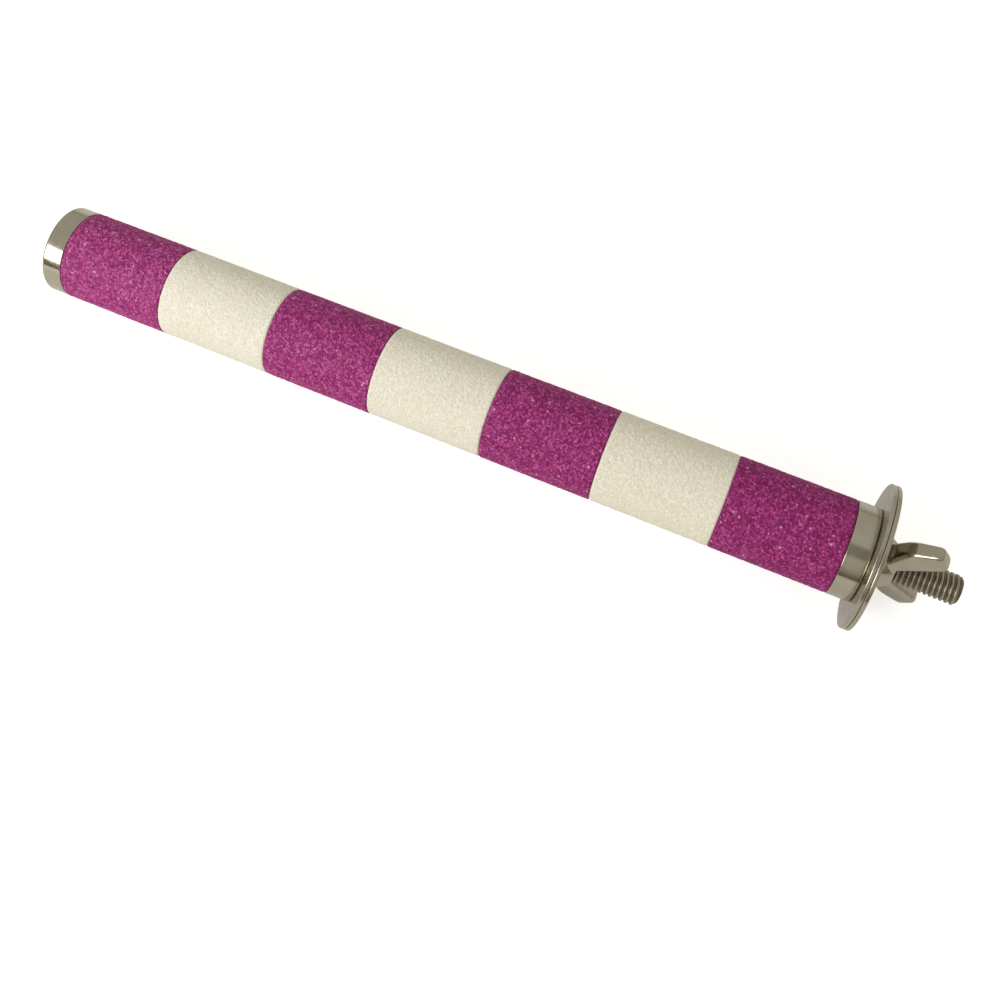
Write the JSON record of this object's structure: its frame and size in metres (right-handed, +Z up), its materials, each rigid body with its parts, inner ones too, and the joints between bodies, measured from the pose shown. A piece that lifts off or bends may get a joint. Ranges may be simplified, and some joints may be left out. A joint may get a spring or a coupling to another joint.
{
  "type": "bird perch",
  "caption": "Straight round bird perch with coloured grit bands and metal end cups, clamped to a cage wall by a stud, two large washers and a wing nut.",
  "frame": {"origin": "middle of the inner washer's outer face, on the stud's axis, where the cage wires are clamped", "axes": "+X along the stick and stud, outwards through the cage wall; +Z up; the stick runs to -X"},
  "size_m": [0.1969, 0.0294, 0.0294],
  "materials": {
    "dowel_wood": "planed dowel, hidden inside the coat",
    "purple_grit": "coarse bonded sand, dry, with glinting grains",
    "cream_grit": "coarse bonded sand, dry, with glinting grains",
    "plated_cup": "bright nickel plate on drawn steel",
    "plated_washer": "bright nickel plate on punched steel",
    "plated_wing_nut": "bright nickel plate on a forged nut",
    "plated_thread": "plated rolled thread"
  },
  "bodies": {
    "perch": {"core_dowel": "dowel_wood", "purple_grit_1": "purple_grit", "cream_grit_1": "cream_grit", "purple_grit_2": "purple_grit", "cream_grit_2": "cream_grit", "purple_grit_3": "purple_grit", "cream_grit_3": "cream_grit", "purple_grit_4": "purple_grit", "end_cap": "plated_cup", "mount_ferrule": "plated_cup", "hanger_bolt": "plated_thread"},
    "inner_washer": {"inner_washer": "plated_washer"},
    "outer_washer": {"outer_washer": "plated_washer"},
    "wing_nut": {"wing_nut": "plated_wing_nut"}
  },
  "joints": [
    {"name": "inner_washer_spin", "type": "hinge", "parent": "perch", "child": "inner_washer", "pos_m": [0, 0, 0], "axis": [1, 0, 0], "continuous": true},
    {"name": "outer_washer_travel", "type": "slide", "parent": "perch", "child": "outer_washer", "axis": [1, 0, 0], "range_m": [0, 0.0161]},
    {"name": "wing_nut_turn", "type": "hinge", "parent": "outer_washer", "child": "wing_nut", "pos_m": [0, 0, 0], "axis": [1, 0, 0], "range_deg": [0, 5760]}
  ],
  "couplings": [
    {"joint": "outer_washer_travel", "follows": "wing_nut_turn", "m_per_rad": 0.00015915}
  ]
}
